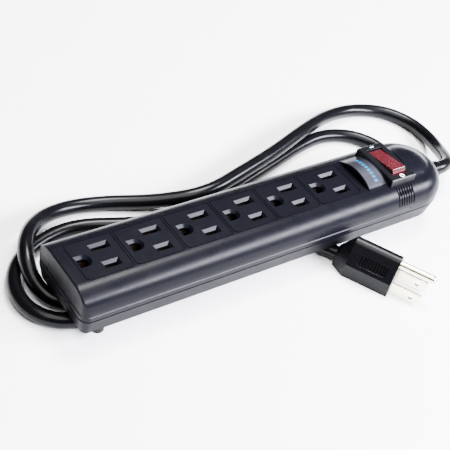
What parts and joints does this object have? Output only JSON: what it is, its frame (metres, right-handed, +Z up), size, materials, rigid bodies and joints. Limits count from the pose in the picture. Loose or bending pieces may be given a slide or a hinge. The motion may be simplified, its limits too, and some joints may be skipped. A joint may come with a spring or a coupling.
{
  "type": "power strip",
  "caption": "Black mains power strip: a row of grounded outlets, a red rocker switch at one end, and a round cord with a grounded plug, laid behind and under the housing.",
  "frame": {"origin": "centre of the base's underside, midway along and across the housing", "axes": "+X along the housing towards the switch and the cord's exit, +Y to the side of the longer blade slots, +Z up out of the outlets"},
  "size_m": [0.3151, 0.1593, 0.0412],
  "materials": {
    "housing_plastic": "satin black, lightly textured",
    "bezel_plastic": "satin black",
    "label": "silver-grey film with a darker border",
    "rocker_plastic": "glossy red",
    "steel": "zinc plated",
    "inner_plastic": "plain dark moulding",
    "brass": "stamped, dull",
    "foot_rubber": "soft black",
    "cord_plastic": "satin black jacket",
    "plug_plastic": "satin black moulding",
    "line_insulation": "black insulation",
    "neutral_insulation": "white insulation",
    "ground_insulation": "green insulation",
    "blade_brass": "bright, nickel-pale brass"
  },
  "bodies": {
    "housing": {"upper_shell": "housing_plastic", "base_shell": "housing_plastic", "label_plate": "label", "switch_bezel": "bezel_plastic", "rocker_pin": "steel", "breaker_body": "inner_plastic", "breaker_line_terminal": "brass", "breaker_load_terminal": "brass", "hot_rail": "brass", "neutral_rail": "brass", "ground_rail": "brass", "housing_screws": "steel", "foot_1": "foot_rubber", "foot_2": "foot_rubber", "foot_3": "foot_rubber", "foot_4": "foot_rubber", "cord_strain_relief": "cord_plastic", "cord_clamp": "inner_plastic", "clamp_screws": "steel", "line_wire": "line_insulation", "neutral_wire": "neutral_insulation", "ground_wire": "ground_insulation", "load_wire": "line_insulation", "power_cord": "cord_plastic", "plug_body": "plug_plastic", "hot_blade": "blade_brass", "neutral_blade": "blade_brass", "ground_pin": "blade_brass"},
    "rocker": {"rocker_button": "rocker_plastic", "rocker_plunger": "inner_plastic"},
    "contact_arm": {"breaker_arm": "brass"}
  },
  "joints": [
    {"name": "rocker_tip", "type": "hinge", "parent": "housing", "child": "rocker", "pos_m": [0.08435, 0, 0.026], "axis": [1, 0, 0], "range_deg": [0, 18]},
    {"name": "arm_tip", "type": "hinge", "parent": "housing", "child": "contact_arm", "pos_m": [0.08435, 0, 0.0146], "axis": [1, 0, 0], "range_deg": [-14.1, 0.1]}
  ],
  "couplings": [
    {"joint": "arm_tip", "follows": "rocker_tip", "ratio": -0.7778}
  ]
}
